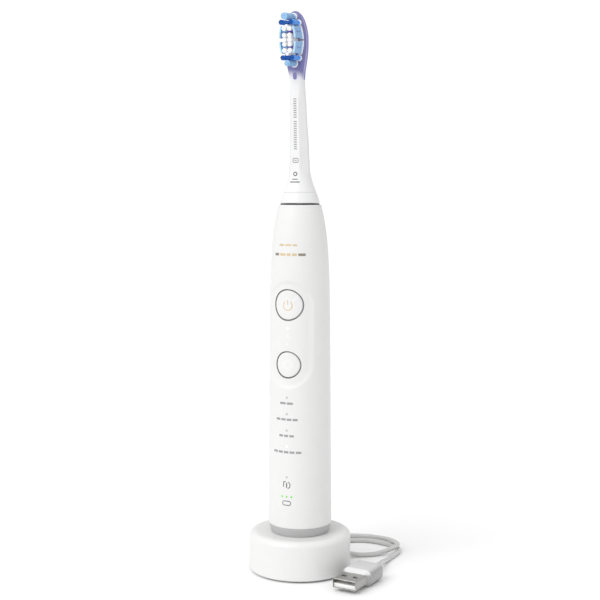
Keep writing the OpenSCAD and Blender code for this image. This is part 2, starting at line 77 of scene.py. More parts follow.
def make_studio():
    """A white floor under a sky that is brightest above the front left, and a soft key light from there."""
    world = bpy.data.worlds.new("studio")
    world.use_nodes = True
    tree = world.node_tree
    tree.nodes.clear()
    white = {"Color": (1, 1, 1, 1)}
    direction = tree.nodes.new("ShaderNodeTexCoord").outputs["Generated"]
    facing = dot_product(tree, direction, SKY_TOWARDS.normalized())
    strength = map_range(tree, facing, -1, 1, SKY_DIM, SKY_BRIGHT)
    lit = add_node(tree, "Background", white | {"Strength": strength}).outputs[0]
    seen = add_node(tree, "Background", white | {"Strength": SKY_SEEN}).outputs[0]
    camera_ray = tree.nodes.new("ShaderNodeLightPath").outputs["Is Camera Ray"]
    mix = add_node(tree, "MixShader", {0: camera_ray, 1: lit, 2: seen}).outputs[0]
    add_node(tree, "OutputWorld", {0: mix})
    scene.world = world
    data = bpy.data.lights.new("key", "SUN")
    data.energy, data.angle = KEY_STRENGTH, radians(KEY_SPREAD)
    key = placed("key", data)
    key.rotation_euler = KEY_FROM.to_track_quat("Z", "Y").to_euler()
    scene.view_settings.view_transform = "Standard"
    mesh = bpy.data.meshes.new("floor")
    corners = [(x * FLOOR_HALF_M, y * FLOOR_HALF_M, 0) for x, y in ((-1, -1), (1, -1), (1, 1), (-1, 1))]
    mesh.from_pydata(corners, [], [(0, 1, 2, 3)])
    floor = placed("floor", mesh)
    mesh.materials.append(material("floor_paper", grey(0.90), 0.9, 40, 0.003, 0.0))


# ---- materials

def add_node(tree, kind, inputs, **settings):
    """A shader node with its settings, and with a value or a link for each named or numbered input."""
    node = tree.nodes.new("ShaderNode" + kind)
    for name, value in settings.items():
        setattr(node, name, value)
    for name, value in inputs.items():
        if isinstance(value, bpy.types.NodeSocket):
            tree.links.new(value, node.inputs[name])
        else:
            node.inputs[name].default_value = value
    return node


def dot_product(tree, first, second):
    return add_node(tree, "VectorMath", {0: first, 1: second}, operation="DOT_PRODUCT").outputs["Value"]


def map_range(tree, value, from_low, from_high, to_low=0, to_high=1, **settings):
    inputs = dict(zip(("Value", "From Min", "From Max", "To Min", "To Max"),
                      (value, from_low, from_high, to_low, to_high)))
    return add_node(tree, "MapRange", inputs, **settings).outputs["Result"]


def noise_range(tree, coords, scale, low, high):
    """A noise, mapped to the range from low to high."""
    noise = add_node(tree, "TexNoise", {"Scale": scale, "Detail": 3, "Vector": coords}).outputs["Fac"]
    return map_range(tree, noise, 0.3, 0.7, low, high)


def blended(tree, first, second, share, **settings):
    """A colour between two others."""
    colours = {"A": first, "B": second, "Factor": share}
    return add_node(tree, "Mix", colours, data_type="RGBA", **settings).outputs["Result"]


def material(name, colour, rough, grain, vary, bump, edge_paling=0.0, metallic=0.0, coat=0.0, sheen=0.0, glow=0.0,
             fade=None, tip=None, streak=None):
    """A moulded, drawn or machined surface: its colour drifts a little, its gloss is uneven and its grain
    stands up. fade is (first colour, axis point, axis direction, start, end) in metres, tip is the colour
    where the mesh's own tip value is 1, and streak is a stretch of the grain per axis."""
    made = bpy.data.materials.new(name)
    made.use_nodes = True
    tree = made.node_tree
    shader = tree.nodes["Principled BSDF"]
    place = coords = tree.nodes.new("ShaderNodeTexCoord").outputs["Object"]
    if streak:
        coords = add_node(tree, "Mapping", {"Vector": place, "Scale": streak}).outputs["Vector"]
    base = (*colour, 1)
    if tip:
        tip_value = tree.nodes.new("ShaderNodeAttribute")
        tip_value.attribute_name = "tip"
        base = blended(tree, base, (*tip, 1), tip_value.outputs["Fac"])
    if fade:
        base = faded(tree, place, base, *fade)
    drift = noise_range(tree, coords, grain / 9, 1 - vary, 1 + vary)
    drifts = add_node(tree, "CombineColor", dict.fromkeys(("Red", "Green", "Blue"), drift)).outputs[0]
    result = blended(tree, base, drifts, 1, blend_type="MULTIPLY")
    if edge_paling:
        result = paled_edges(tree, result, colour, edge_paling)
    tree.links.new(result, shader.inputs["Base Color"])
    tree.links.new(noise_range(tree, coords, grain / 3, rough * 0.9, rough * 1.1), shader.inputs["Roughness"])
    if bump:
        height = noise_range(tree, coords, grain * 3, 0, 1)
        raised = add_node(tree, "Bump", {"Strength": bump, "Distance": 0.0002, "Height": height})
        tree.links.new(raised.outputs["Normal"], shader.inputs["Normal"])
    values = {"Metallic": metallic, "Coat Weight": coat, "Coat Roughness": 0.12, "Sheen Weight": sheen}
    if glow:
        values |= {"Emission Color": (*colour, 1), "Emission Strength": glow}
    for socket, value in values.items():
        shader.inputs[socket].default_value = value
    return made


def faded(tree, place, own, other, point, direction, start, end):
    """From the other colour to the surface's own, along a line through point."""
    offset = add_node(tree, "VectorMath", {0: place, 1: point}, operation="SUBTRACT").outputs["Vector"]
    along = dot_product(tree, offset, direction)
    share = map_range(tree, along, start, end, interpolation_type="SMOOTHSTEP")
    return blended(tree, (*other, 1), own, share)


def paled_edges(tree, result, colour, amount):
    """Convex edges, where the mesh's pointiness is high, a little paler."""
    pointiness = tree.nodes.new("ShaderNodeNewGeometry").outputs["Pointiness"]
    paler = [min(1, channel * 1.25 + 0.05) for channel in colour]
    return blended(tree, result, (*paler, 1), map_range(tree, pointiness, 0.52, 0.62, 0, amount))


# ---- mesh helpers

def finish(obj, body, look, slot, *replaced, sharp=40):
    """Gives a piece its material and body, and hides the CAD nodes that it stands for. Its slot argument is
    not used.
    """
    obj.data.materials.append(MATS[look])
    if obj.type == "MESH":
        obj.data.shade_smooth()
        obj.data.set_sharp_from_angle(angle=radians(sharp))
    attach(obj, body)
    if replaced:
        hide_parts(*replaced)
    return obj


def set_tips(obj, values):
    """Where the mesh has its material's own tip colour, from 0 to 1 at each vertex."""
    obj.data.attributes.new("tip", "FLOAT", "POINT").data.foreach_set("value", values)


def raw_solid(name, points, faces):
    """A mesh object from points in millimetres and faces that already look outwards."""
    mesh = bpy.data.meshes.new(name)
    mesh.from_pydata([Vector(p) * MM for p in points], [], faces)
    mesh.update()
    return placed(name, mesh)


def solid(name, points, faces):
    """A mesh object from points in millimetres, its double points merged and its faces turned outwards."""
    obj = raw_solid(name, points, faces)
    mesh = obj.data
    build = bmesh.new()
    build.from_mesh(mesh)
    bmesh.ops.remove_doubles(build, verts=build.verts, dist=1e-7)
    bmesh.ops.recalc_face_normals(build, faces=build.faces)
    build.to_mesh(mesh)
    build.free()
    return obj


def loft_faces(count, size, first=0, looped=False):
    """Quads between rings of the same size. A looped loft joins its last ring to its first."""
    faces = []
    for i in range(count if looped else count - 1):
        a, b = first + i * size, first + (i + 1) % count * size
        for k in range(size):
            n = (k + 1) % size
            faces.append((a + k, a + n, b + n, b + k))
    return faces


def skin(name, rings, looped=False):
    """A surface through rings of points. A looped one joins its last ring to its first."""
    points = [p for ring in rings for p in ring]
    return solid(name, points, loft_faces(len(rings), len(rings[0]), looped=looped))


def loft(name, rings):
    """A closed solid through rings of points, its two ends closed by a fan."""
    size = len(rings[0])
    points = [p for ring in rings for p in ring]
    faces = loft_faces(len(rings), size)
    for ring, first in ((rings[0], 0), (rings[-1], size * (len(rings) - 1))):
        points.append(sum((Vector(p) for p in ring), Vector()) / size)
        faces += [(first + k, first + (k + 1) % size, len(points) - 1) for k in range(size)]
    return solid(name, points, faces)


def rounded(corners, steps=5):
    """A line through corners (x, y) or (x, y, radius), each with a radius turned into a curve."""
    line = []
    for i, corner in enumerate(corners):
        here = Vector(corner[:2])
        if len(corner) < 3 or not 0 < i < len(corners) - 1:
            line.append(tuple(here))
            continue
        before, after = Vector(corners[i - 1][:2]), Vector(corners[i + 1][:2])
        a = here + (before - here).normalized() * corner[2]
        b = here + (after - here).normalized() * corner[2]
        for k in range(steps + 1):
            t = k / steps
            line.append(tuple(a * (1 - t) ** 2 + here * 2 * t * (1 - t) + b * t ** 2))
    return line


def lathe(name, outline, sides=144, looped=False):
    """An outline of (radius, height) turned about the vertical axis. A looped one is a ring."""
    return skin(name, [circle(r, z, sides) for r, z in outline], looped)


def circle(r, z, sides):
    return [(r * sin(a), -r * cos(a), z) for a in angles(sides)]


def angles(count, start=0.0):
    return [start + tau * k / count for k in range(count)]


def rounded_loop(cx, cz, w, h, r, steps=5):
    """The outline of a rounded rectangle, as points going round it."""
    loop = []
    for quarter, (sx, sz) in enumerate(((1, 1), (-1, 1), (-1, -1), (1, -1))):
        for k in range(steps + 1):
            a = pi / 2 * (quarter + k / steps)
            loop.append((cx + sx * (w / 2 - r) + r * cos(a), cz + sz * (h / 2 - r) + r * sin(a)))
    return loop


def bezier(p, t):
    s = 1 - t
    return [s ** 3 * a + 3 * s * s * t * b + 3 * s * t * t * c + t ** 3 * d for a, b, c, d in zip(*p)]


def lerp(a, b, t):
    return a + (b - a) * t


def smooth(t):
    t = min(max(t, 0.0), 1.0)
    return t * t * (3 - 2 * t)


def follow(stations, value):
    """The height in stations [(value, height), ...] at a value, in smooth steps between them."""
    for (v0, h0), (v1, h1) in zip(stations, stations[1:]):
        if value <= v1:
            return lerp(h0, h1, min(max((value - v0) / (v1 - v0), 0), 1))
    return stations[-1][1]


def spline(points, step):
    """Evenly spaced points along a smooth curve through the given ones."""
    dense = []
    for i in range(len(points) - 1):
        a, b, c, d = (Vector(points[min(max(i + k, 0), len(points) - 1)]) for k in (-1, 0, 1, 2))
        for k in range(24):
            t = k / 24
            dense.append(0.5 * (2 * b + (c - a) * t + (2 * a - 5 * b + 4 * c - d) * t * t
                                + (3 * b - a - 3 * c + d) * t ** 3))
    dense.append(Vector(points[-1]))
    return resampled(dense, step)


def resampled(dense, step):
    out, left = [dense[0]], step
    for a, b in zip(dense, dense[1:]):
        span = (b - a).length
        while span >= left and span > 0:
            a = a + (b - a) * (left / span)
            out.append(a)
            span, left = (b - a).length, step
        left -= span
    if (out[-1] - dense[-1]).length > step / 3:
        out.append(dense[-1])
    else:
        out[-1] = dense[-1]
    return out


def cut(obj, cutter):
    """Takes the cutter's volume out of obj."""
    modifier = obj.modifiers.new("cut", "BOOLEAN")
    modifier.operation, modifier.solver, modifier.object = "DIFFERENCE", "EXACT", cutter
    graph = bpy.context.evaluated_depsgraph_get()
    mesh = bpy.data.meshes.new_from_object(obj.evaluated_get(graph))
    obj.modifiers.clear()
    obj.data = mesh
    bpy.data.objects.remove(cutter)


# ---- lead and plug

def level(angle, x=1, y=0):
    """A level vector that is x along the direction of an angle and y across it."""
    return Vector((x * cos(angle) - y * sin(angle), x * sin(angle) + y * cos(angle), 0))


UP = Vector((0, 0, 1))
CORD_D = 2.3
EXIT_ANGLE, EXIT_OUT, EXIT_Z = radians(57), 28.5, 2.7
EXIT = (EXIT_OUT * cos(EXIT_ANGLE), EXIT_OUT * sin(EXIT_ANGLE), EXIT_Z)
COIL_CENTRE = (-20.4, 43.7)
COIL_PITCH, COIL_COLUMNS, COIL_MID_R = 2.4, 6, 13.0
COIL_OUT_R = COIL_MID_R + (COIL_COLUMNS - 1) * COIL_PITCH / 2
COIL_LOW, COIL_HIGH = 0.4, 5.05
COIL_ROWS = (COIL_LOW + CORD_D / 2, COIL_HIGH - CORD_D / 2)
COIL_START, COIL_END = radians(72), radians(-40)


def on_coil(angle, r, z):
    return Vector((*COIL_CENTRE, z)) + level(angle, r)


LEAD_ROUTE = [
    EXIT, (16.2, 25.9, 1.8), (20, 27.9, 1.2), (24.3, 30.6, 1.15), (27.6, 33.5, 1.35), (30.4, 36.3, 2),
    (32.6, 38.8, 2.9), (34.1, 41.4, 3.6), (34.2, 44.4, 3.65), (31.9, 47.7, 3.6), (28, 51.2, 3.3),
    (23.4, 54.4, 2.7), (18.3, 57, 2), (13, 58.6, 1.5), (7.6, 58.4, 1.2), (2.6, 57.2, 1.15), (-5, 58.9, 1.2),
    on_coil(COIL_START, COIL_OUT_R, COIL_ROWS[0]),
]
RUN_ROUTE = [
    on_coil(COIL_END, COIL_OUT_R, COIL_ROWS[1]),
    (-1.6, 36.6, 3.4), (1.4, 42.2, 2.3), (5, 47.2, 1.4), (9.6, 50.6, 1.15), (14.8, 52.3, 1.15),
    (20, 52.3, 1.15), (24.4, 51.3, 1.15), (27.8, 50.2, 1.15), (31, 48.4, 1.15), (34, 45.6, 1.15),
    (35.6, 41.4, 1.15), (35.8, 36.4, 1.15), (35.5, 31, 1.15), (35.5, 24, 1.5), (36.1, 17.2, 2.7),
    (37, 10.4, 3.7), (36.9, 5, 4), (36.4, 2, 4),
]
# The back of the plug, its directions, the half sizes and length of its grip, and where its metal ends
PLUG_BACK = Vector((36.3, 1.2, 4))
PLUG_AHEAD, PLUG_RIGHT = level(radians(-95)), level(radians(-5))
GRIP_HALF_W, GRIP_HALF_T, GRIP_LENGTH, PLUG_TIP = 7.5, 4, 16, 26.5


def coil_points():
    """The turns, anticlockwise from above: inwards in the lower layer, then outwards in the upper one.
    Each shifts to the next over a part of its length."""
    columns = [COIL_OUT_R - k * COIL_PITCH for k in range(COIL_COLUMNS)]
    turns = [(r, COIL_ROWS[0]) for r in columns] + [(r, COIL_ROWS[1]) for r in reversed(columns)]
    total = len(turns) - 1 + ((COIL_END - COIL_START) % tau) / tau
    steps_a_turn, points = 60, []
    for i in range(1, int(total * steps_a_turn)):
        turn, share = divmod(i / steps_a_turn, 1)
        here, there = turns[int(turn)], turns[min(int(turn) + 1, len(turns) - 1)]
        shift_from, shift_to = (0.3, 0.55) if turn >= COIL_COLUMNS else (0.72, 1.0)
        t = smooth((share - shift_from) / (shift_to - shift_from))
        r, z = (lerp(a, b, t) for a, b in zip(here, there))
        points.append(on_coil(COIL_START + tau * i / steps_a_turn, r, z))
    return points


def make_lead():
    step = 1.1
    lead = spline(LEAD_ROUTE, step)
    run = spline(RUN_ROUTE, step)
    path = resampled(lead + coil_points() + run, step)
    curve = bpy.data.curves.new("lead", "CURVE")
    curve.dimensions, curve.bevel_depth, curve.bevel_resolution = "3D", CORD_D / 2 * MM, 3
    curve.use_fill_caps = True
    line = curve.splines.new("POLY")
    line.points.add(len(path) - 1)
    for point, place in zip(line.points, path):
        point.co = (*(place * MM), 1)
    obj = placed("lead", curve)
    finish(obj, "charger", "lead", "lead_grey", "cord_lead", "cord_coil", "cord_run")


def make_strain_relief():
    """A short tapered sleeve with two grooves, lying along the lead's exit."""
    stations = [(20.5, 1.7), (24.4, 1.7), (24.5, 1.7), (25.1, 1.64), (25.3, 1.44), (25.8, 1.42), (26, 1.56),
                (26.6, 1.5), (26.8, 1.32), (27.2, 1.3), (27.4, 1.42), (28.2, 1.36), (28.5, 1.22)]
    rings = [[level(EXIT_ANGLE, d, r * cos(a)) + UP * (EXIT_Z + r * sin(a)) for a in angles(40)]
             for d, r in stations]
    return finish(loft("strain_relief_sleeve", rings), "charger", "lead", "lead_grey", "strain_relief")


def make_tie():
    """A flat strap round the coil's turns."""
    angle, thick, width = radians(250), 0.38, 5
    half_w = COIL_OUT_R - COIL_MID_R + CORD_D / 2 + 0.05
    middle_z = (COIL_LOW + COIL_HIGH) / 2

    def band(grow):
        w, z0, z1, corner = half_w + grow, COIL_LOW - grow, COIL_HIGH + grow, 1.4 + grow
        corners = ((-w, z1, corner), (w, z1, corner), (w, z0, corner), (-w, z0, corner))
        return rounded([(-w, middle_z), *corners, (-w, middle_z)], 6)

    rings = []
    for inner, outer in zip(band(0), band(thick)):
        section = [(inner, -1), (inner, 1), (outer, 1), (outer, -1)]
        rings.append([on_coil(angle, COIL_MID_R + out, z) + level(angle, 0, side * width / 2)
                      for (out, z), side in section])
    return finish(skin("tie_strap", rings), "charger", "tie", "grey_plastic", "cord_tie")


def plug_ring(half_w, half_t, corner, along, drop=0.0, per_corner=9):
    """A rounded rectangle across the plug, at a length from its back towards its tip."""
    loop = rounded_loop(0, 0, 2 * half_w, 2 * half_t, corner, per_corner - 1)
    return [PLUG_BACK + PLUG_RIGHT * x + PLUG_AHEAD * along + UP * (z + drop) for x, z in loop]


def plug_box(name, x, z, half_w, half_t, start, end, corner=0.05):
    """A small block on the plug, its middle x to the right of the plug's axis and z above it."""
    ends = ((start, corner), (start + corner, 0), (end - corner, 0), (end, corner))
    rings = [plug_ring(half_w - i, half_t - i, 0.02 + corner, along, z, 3) for along, i in ends]
    return loft(name, [[p + PLUG_RIGHT * x for p in ring] for ring in rings])


def make_plug_body():
    """The moulded grip. Its tip colour is painted light: a painted highlight on the bevel at its front, and
    painted light on its top, paler than its sides.
    """
    front_bevel = [(0, 1.8), (0.1, 1.6), (2.1, 0.2), (2.3, 0.07), (2.7, 0)]
    back_edge = [(0, 2.2), (0.12, 1.5), (0.45, 0.85), (1, 0.35), (2, 0)]
    stations = back_edge + [(GRIP_LENGTH - d, i) for d, i in reversed(front_bevel)]
    body = loft("plug_body", [plug_ring(GRIP_HALF_W - i, GRIP_HALF_T - i * 0.85, 3.2 - i * 0.8, along)
                              for along, i in stations])
    bevel_start, painted_top_light = GRIP_LENGTH - 2.7, 0.62
    painted_light = []
    # Painted light: a painted highlight on the front bevel, and painted light on the top.
    for place in (v.co / MM - PLUG_BACK for v in body.data.vertices):
        bevel_highlight = smooth((place.dot(PLUG_AHEAD) - bevel_start) / 0.4) * smooth((place.z - 1.6) / 1.2)
        painted_light.append(max(bevel_highlight, painted_top_light * smooth((place.z - 2.4) / 1.5)))
    set_tips(body, painted_light)
    return finish(body, "charger", "plug", "plug_grey", "usb_overmould", sharp=28)


def make_plug():
    body = make_plug_body()
    tip, root, half_w, half_t = PLUG_TIP, 12.5, 6, 2.25
    outer = [(root, 0), (tip - 0.25, 0), (tip - 0.07, 0.08), (tip, 0.18)]
    inner = [(tip - 0.05, 0.3), (tip - 0.4, 0.34), (root, 0.34)]
    shell = skin("plug_shell", [plug_ring(half_w - i, half_t - i, max(0.62 - i, 0.25), along, per_corner=6)
                                for along, i in outer + inner], looped=True)
    for x in (-2.9, 2.9):
        for side in (-1, 1):
            cut(shell, plug_box("window", x, side * half_t, 1.15, 0.8, tip - 6.95, tip - 4.65))
    finish(shell, "charger", "nickel", "nickel", "usb_metal_shell", sharp=30)
    tongue = plug_box("plug_tongue", 0, -1.01, 5.64, 0.92, root, tip - 0.6, 0.12)
    finish(tongue, "charger", "tongue", "white_satin", "usb_tongue")
    strips = [plug_box("strip", x, -0.06, 0.5, 0.1, tip - 9.5, tip - short)
              for x, short in ((-3.5, 4.8), (-1, 5.6), (1, 5.6), (3.5, 4.8))]
    contacts = join("plug_contacts", strips)
    finish(contacts, "charger", "gold_metal", "contact_gold", "usb_contacts")
    return [body, shell, tongue, contacts]


# ---- charger

def make_charger():
    r, top, fillet_r, wall, low = 24.5, 19.4, 3, 2, 0.9
    seat, peg_r, peg_top, skin_t, ceiling = 19.1, 5, 27.6, 1, 17.1
    fillet = [(r - fillet_r + fillet_r * cos(a), top - fillet_r + fillet_r * sin(a))
              for a in (radians(d) for d in range(0, 91, 6))]
    side = rounded([(r - wall, low), (r - 0.55, low), (r - 0.1, 1.15, 0.25), (r, 1.6, 0.3), (r, 3)])
    dish = rounded([(20.6, top), (19.6, top - 0.08, 0.6), (17.2, seat, 0.8), (5.6, seat),
                    (peg_r, seat + 0.5, 0.4), (peg_r, peg_top, 1.1), (0.001, peg_top)], 6)
    inside = [(0.001, peg_top - skin_t), (peg_r - skin_t, peg_top - skin_t), (peg_r - skin_t, ceiling),
              (r - wall - 1, ceiling), (r - wall, ceiling - 1)]
    shell = lathe("charger_body", side + fillet + dish + inside, 192, looped=True)
    finish(shell, "charger", "white_body", "white_gloss", "charger_shell", sharp=35)
    foot = rounded([(17, low), (17, 0.1), (17.3, 0, 0.2), (21.9, 0, 0.2), (22.2, 0.25, 0.1), (22.2, low)])
    ring = lathe("charger_foot", foot, 144, looped=True)
    finish(ring, "charger", "foot", "foot_rubber", "charger_foot_ring")


# ---- handle

HOUSING_LOW, HOUSING_TOP = 23.4, 176.55
PANEL_DEPTH, PANEL_R, PANEL_EDGE = 0.6, 11.3, 2.2
POWER_Z, MODE_Z = 130, 101.8
POWER_R, MODE_R = 6.95, 5.95
SHOULDER = ((14.4, 125), (14.1, 150), (13.4, 163), (10.4, 175))


def handle_profile():
    line = [(lerp(15.2, 14.4, t / 60), lerp(HOUSING_LOW, 125, t / 60)) for t in range(60)]
    line += [tuple(bezier(SHOULDER, t / 60)) for t in range(61)]
    return line + [(10.3, 175.8), (10.2, 176.15), (10.0, 176.45), (9.7, HOUSING_TOP)]


PROFILE = handle_profile()


def handle_r(z):
    return follow([(h, r) for r, h in PROFILE], z)


def panel_sink(x, z):
    """How deep the panel round the buttons lies at a place on the front."""
    along = min(max(z, MODE_Z), POWER_Z)
    inside = min(max((PANEL_R - hypot(x, z - along)) / PANEL_EDGE, 0), 1)
    return PANEL_DEPTH * (1 - (1 - inside) ** 2)


def on_circle(x, r):
    return -sqrt(max(r * r - x * x, 0.01))


def front_y(x, z):
    """The housing's front surface."""
    return on_circle(x, handle_r(z) - panel_sink(x, z))


def panel_y(x, z):
    """The buttons' front surface, in the middle of the panel."""
    return on_circle(x, handle_r(z) - PANEL_DEPTH)


def polar_solid(name, centre, stations, surface, sides=72, looped=False):
    """A round piece in a curved front. Stations are (radius, lift off the surface), the first in front."""
    cx, cz = centre
    rings = []
    for radius, lift in stations:
        ring = []
        for a in angles(sides):
            x, z = cx + radius * sin(a), cz + radius * cos(a)
            ring.append((x, surface(x, z) - lift, z))
        rings.append(ring)
    return skin(name, rings, looped)


def housing_heights():
    """Rings stand close together round the panel and at the shoulder's end."""
    heights = [HOUSING_LOW, HOUSING_LOW + 0.12, HOUSING_LOW + 0.3]
    z, shoulder_end = HOUSING_LOW + 1, 172
    while z < shoulder_end:
        heights.append(z)
        z += 0.55 if 88 < z < 143 else 1.2
    return heights + [shoulder_end + 0.3 * k for k in range(1, 12)]


def make_housing():
    sides, wall, lip_r, lip_z = 224, 1.6, 7, 174.9
    outer = []
    for z in housing_heights():
        ring = []
        for a in angles(sides):
            r = handle_r(z)
            if z < HOUSING_LOW + 0.2:
                r -= 0.18 - (z - HOUSING_LOW)
            if cos(a) > 0:
                r -= panel_sink(r * sin(a), z)
            ring.append((r * sin(a), -r * cos(a), z))
        outer.append(ring)
    rim = [(10.27, 175.95), (10.15, 176.27), (9.95, 176.48), (9.7, HOUSING_TOP), (lip_r, HOUSING_TOP),
           (lip_r, lip_z), (8.7, lip_z)]
    inner = [(handle_r(z) - wall, z) for z in (170, 165, 160, 155, 150, 140, 125, 90, 60, HOUSING_LOW)]
    housing = skin("handle_shell", outer + [circle(r, z, sides) for r, z in rim + inner], looped=True)
    for z, r in ((POWER_Z, POWER_R + 0.56), (MODE_Z, MODE_R + 0.56)):
        hole = [[(r * sin(a), y, z + r * cos(a)) for a in angles(96)] for y in (-30, -7)]
        cut(housing, loft("hole", hole))
    finish(housing, "handle", "white_body", "white_gloss", "handle_housing", sharp=30)


def make_button(name, body, z, r, node, ring_node):
    """The cap with the stem behind it, and the chrome ring round the cap."""
    stem_r, cap_back, stem_back = 1.2, -1.4, -2.2
    cap = [(0.001, 0.0), (r * 0.3, 0.0), (r * 0.6, 0.0), (r - 0.7, 0.0), (r - 0.35, -0.03), (r - 0.12, -0.12),
           (r, -0.32), (r, cap_back), (stem_r, cap_back), (stem_r, stem_back), (0.001, stem_back)]
    face = polar_solid(name + "_cap_face", (0, z), cap, panel_y, 96)
    finish(face, body, "white_body", "white_gloss", node)
    inner, outer, ring_back = r + 0.17, r + 0.59, -1.2
    ring = [(inner, ring_back), (inner, -0.08), (inner + 0.1, 0.03), (lerp(inner, outer, 0.5), 0.07),
            (outer - 0.1, 0.03), (outer, -0.08), (outer, ring_back)]
    surround = polar_solid(name + "_surround", (0, z), ring, panel_y, 96, looped=True)
    finish(surround, "handle", "ring", "ring_grey", ring_node)


def make_end_cap():
    """The grey cap, the groove for its seal, and the socket for the charger's peg."""
    low, seat, wall_r, groove_r, plug_top, socket_r, socket_top = 19.1, 23.4, 13.4, 12.3, 28.5, 5.3, 28
    outside = rounded([(socket_r, low), (wall_r, low), (13.9, low, 0.4), (15.0, seat - 0.35, 0.4),
                       (14.75, seat - 0.12, 0.1), (14.3, seat), (wall_r, seat)], 5)
    groove = [(wall_r, 25.2), (groove_r, 25.2), (groove_r, 26.6), (wall_r, 26.6), (wall_r, plug_top)]
    hollow = [(11, plug_top), (11, 21.1), (socket_r + 1, 21.1), (socket_r + 1, socket_top + 1),
              (0.001, socket_top + 1), (0.001, socket_top), (socket_r, socket_top)]
    cap = lathe("end_cap", outside + groove + hollow, 160, looped=True)
    finish(cap, "handle", "end_cap", "grey_plastic", "handle_end_cap")


# ---- prints and lights on the front

def on_front(x, z, lift):
    return (x, front_y(x, z) - lift, z)


def on_button(x, z, lift):
    return (x, panel_y(x, z) - lift, z)


def on_neck(x, h, lift):
    return leaned(x, head_front(x, h) - lift, h)


def print_strip(points, width, place, looped):
    """One printed stroke: its points and faces, following the surface that place gives."""
    n, lift, depth = len(points), 0.03, 0.06
    rings = []
    for i, (x, z) in enumerate(points):
        before, after = points[(i - 1) % n], points[(i + 1) % n]
        if not looped:
            before, after = points[max(i - 1, 0)], points[min(i + 1, n - 1)]
        direction = (Vector(after) - Vector(before)).normalized()
        across = Vector((-direction.y, direction.x)) * width / 2
        left, right = (x + across.x, z + across.y), (x - across.x, z - across.y)
        corners = ((left, lift), (right, lift), (right, -depth), (left, -depth))
        rings.append([place(*p, h) for p, h in corners])
    faces = loft_faces(n, 4, looped=looped)
    if not looped:
        faces += [(0, 1, 2, 3), tuple(4 * (n - 1) + k for k in (3, 2, 1, 0))]
    return [p for ring in rings for p in ring], faces


def printed(name, look, strokes, place=on_front, body="handle", slot="ring_grey"):
    """Strokes are (points, width), with a third value where the stroke is a loop."""
    points, faces = [], []
    for line, width, *loop in strokes:
        looped = bool(loop)
        more, shapes = print_strip(subdivided(line, looped), width, place, looped)
        faces += [tuple(i + len(points) for i in face) for face in shapes]
        points += more
    return finish(solid(name, points, faces), body, look, slot)


def subdivided(line, looped, step=0.3):
    """The same line with points no further apart than a step."""
    out = []
    for a, b in zip(line, line[1:] + (line[:1] if looped else [])):
        count = max(1, ceil(dist(a, b) / step))
        out += [(lerp(a[0], b[0], k / count), lerp(a[1], b[1], k / count)) for k in range(count)]
    return out if looped else out + [line[-1]]


def bar(x0, x1, z):
    return [(x0, z), (x1, z)]


def arc(cx, cz, r, start, end, steps=28):
    return [(cx + r * sin(radians(lerp(start, end, k / steps))),
             cz + r * cos(radians(lerp(start, end, k / steps)))) for k in range(steps + 1)]


def make_front_prints():
    symbol = [(arc(0, POWER_Z - 0.2, 2.25, 36, 324, 40), 0.44),
              ([(0, POWER_Z + 0.2), (0, POWER_Z + 2.35)], 0.42)]
    printed("power_symbol", "gold_print", symbol, on_button, "power_button", "contact_gold")
    gold = [(bar(x0, x1, z), width) for x0, x1, z, width in
            ((-4.8, -2.2, 158.0, 0.9), (-1.5, 1.5, 158.0, 0.9), (2.2, 4.3, 158.0, 0.9),
             (-4.3, -1.3, 153.6, 1.2), (-0.6, 1.4, 153.6, 1.2), (2.1, 4.3, 153.6, 1.2))]
    printed("gold_bars", "gold_print", gold, slot="contact_gold")
    printed("grey_bars", "bronze_print", [(bar(x0, x1, 153.6), 1.2) for x0, x1 in ((-7.4, -5), (5, 8))])
    labels = []
    for z, width in ((83.6, 7.3), (75.9, 11.7), (68.1, 8.2), (60.3, 14.9)):
        labels += [(bar(x0, x1, z), 1.05) for x0, x1 in dashes(width)]
    printed("mode_labels", "grey_print", labels)
    icon = [(arc(0.1, 44.5, 1.65, 25, 165, 16), 0.4), ([(0, 43.2), (0, 45.6)], 0.55),
            ([(-0.5, 46.1), (-1.5, 46.0), (-1.6, 45.4), (-1.6, 43.6)], 0.42)]
    printed("reminder_icon", "dark_print", icon)
    printed("battery_outline", "dark_print", [(rounded_loop(0, 35.8, 4.1, 2.0, 0.85), 0.36, "loop")])


def make_neck_prints():
    pitch = 1.05
    heights = [36 - pitch * k for k in range(9)] + [25.6 - pitch * k for k in range(13)]
    ticks = [(bar(-0.8, 0.8, h), 0.5) for h in heights]
    printed("neck_ticks", "grey_print", ticks, on_neck, "brush_head")
    framed = [(rounded_loop(0, 7.6, 2.7, 1.9, 0.5), 0.4, "loop"), (bar(-0.6, 0.6, 7.6), 0.4)]
    printed("neck_frame", "grey_print", framed, on_neck, "brush_head")
    mark = [(rounded_loop(0, 1.2, 1.7, 1.7, 0.84), 0.45, "loop"), (bar(-1.4, 1.4, -1.35), 0.45),
            (bar(-2.4, 2.4, -2.7), 0.5)]
    printed("neck_mark", "dark_print", mark, on_neck, "brush_head")


def dashes(width):
    """Splits a label's width into a few plain dashes."""
    count = max(2, round(width / 3))
    pitch = width / count
    return [(-width / 2 + k * pitch, -width / 2 + (k + 1) * pitch - 0.6) for k in range(count)]


